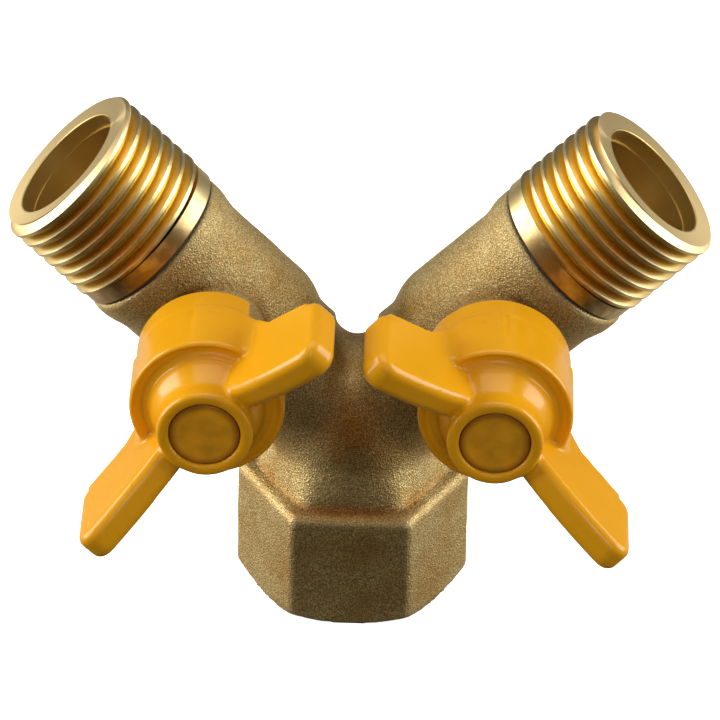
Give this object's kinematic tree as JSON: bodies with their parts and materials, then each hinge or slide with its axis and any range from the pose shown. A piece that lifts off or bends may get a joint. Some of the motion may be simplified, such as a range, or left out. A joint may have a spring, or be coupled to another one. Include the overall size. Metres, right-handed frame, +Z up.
{
  "type": "hose splitter",
  "caption": "Y-shaped brass hose splitter with a threaded hexagon inlet and a quarter-turn valve with a winged handle in each threaded outlet branch.",
  "frame": {"origin": "centre of the flat end face of the hexagon inlet, on the inlet's axis", "axes": "+Z up the inlet's axis towards the fork, the branches lean out towards -X and +X in the XZ plane, and the handles face -Y"},
  "size_m": [0.0844, 0.0483, 0.0643],
  "materials": {
    "cast_brass": "shot-blasted raw casting",
    "machined_brass": "bright turned",
    "stem_brass": "turned",
    "gold_cap": "satin",
    "orange_plastic": "semi-gloss moulded",
    "chromed_ball": "polished chrome plate",
    "white_ptfe": "waxy",
    "black_rubber": "matte",
    "thread_sealant": "cured sealant",
    "zinc_steel": "zinc plated"
  },
  "bodies": {
    "splitter_body": {"valve_body": "cast_brass", "inlet_washer": "black_rubber", "left_outlet_connector": "machined_brass", "left_joint_sealant": "thread_sealant", "left_inner_seat": "white_ptfe", "left_outer_seat": "white_ptfe", "left_thrust_washer": "white_ptfe", "right_outlet_connector": "machined_brass", "right_joint_sealant": "thread_sealant", "right_inner_seat": "white_ptfe", "right_outer_seat": "white_ptfe", "right_thrust_washer": "white_ptfe"},
    "left_valve_turner": {"left_handle": "orange_plastic", "left_handle_cap": "gold_cap", "left_handle_screw": "zinc_steel", "left_spring_washer": "zinc_steel", "left_stem": "stem_brass", "left_stem_o_rings": "black_rubber", "left_ball": "chromed_ball"},
    "right_valve_turner": {"right_handle": "orange_plastic", "right_handle_cap": "gold_cap", "right_handle_screw": "zinc_steel", "right_spring_washer": "zinc_steel", "right_stem": "stem_brass", "right_stem_o_rings": "black_rubber", "right_ball": "chromed_ball"}
  },
  "joints": [
    {"name": "left_valve_turn", "type": "hinge", "parent": "splitter_body", "child": "left_valve_turner", "pos_m": [-0.01697, 0, 0.03897], "axis": [0, -1, 0], "range_deg": [-5, 88.5]},
    {"name": "right_valve_turn", "type": "hinge", "parent": "splitter_body", "child": "right_valve_turner", "pos_m": [0.01697, 0, 0.03897], "axis": [0, 1, 0], "range_deg": [0, 93.5]}
  ]
}
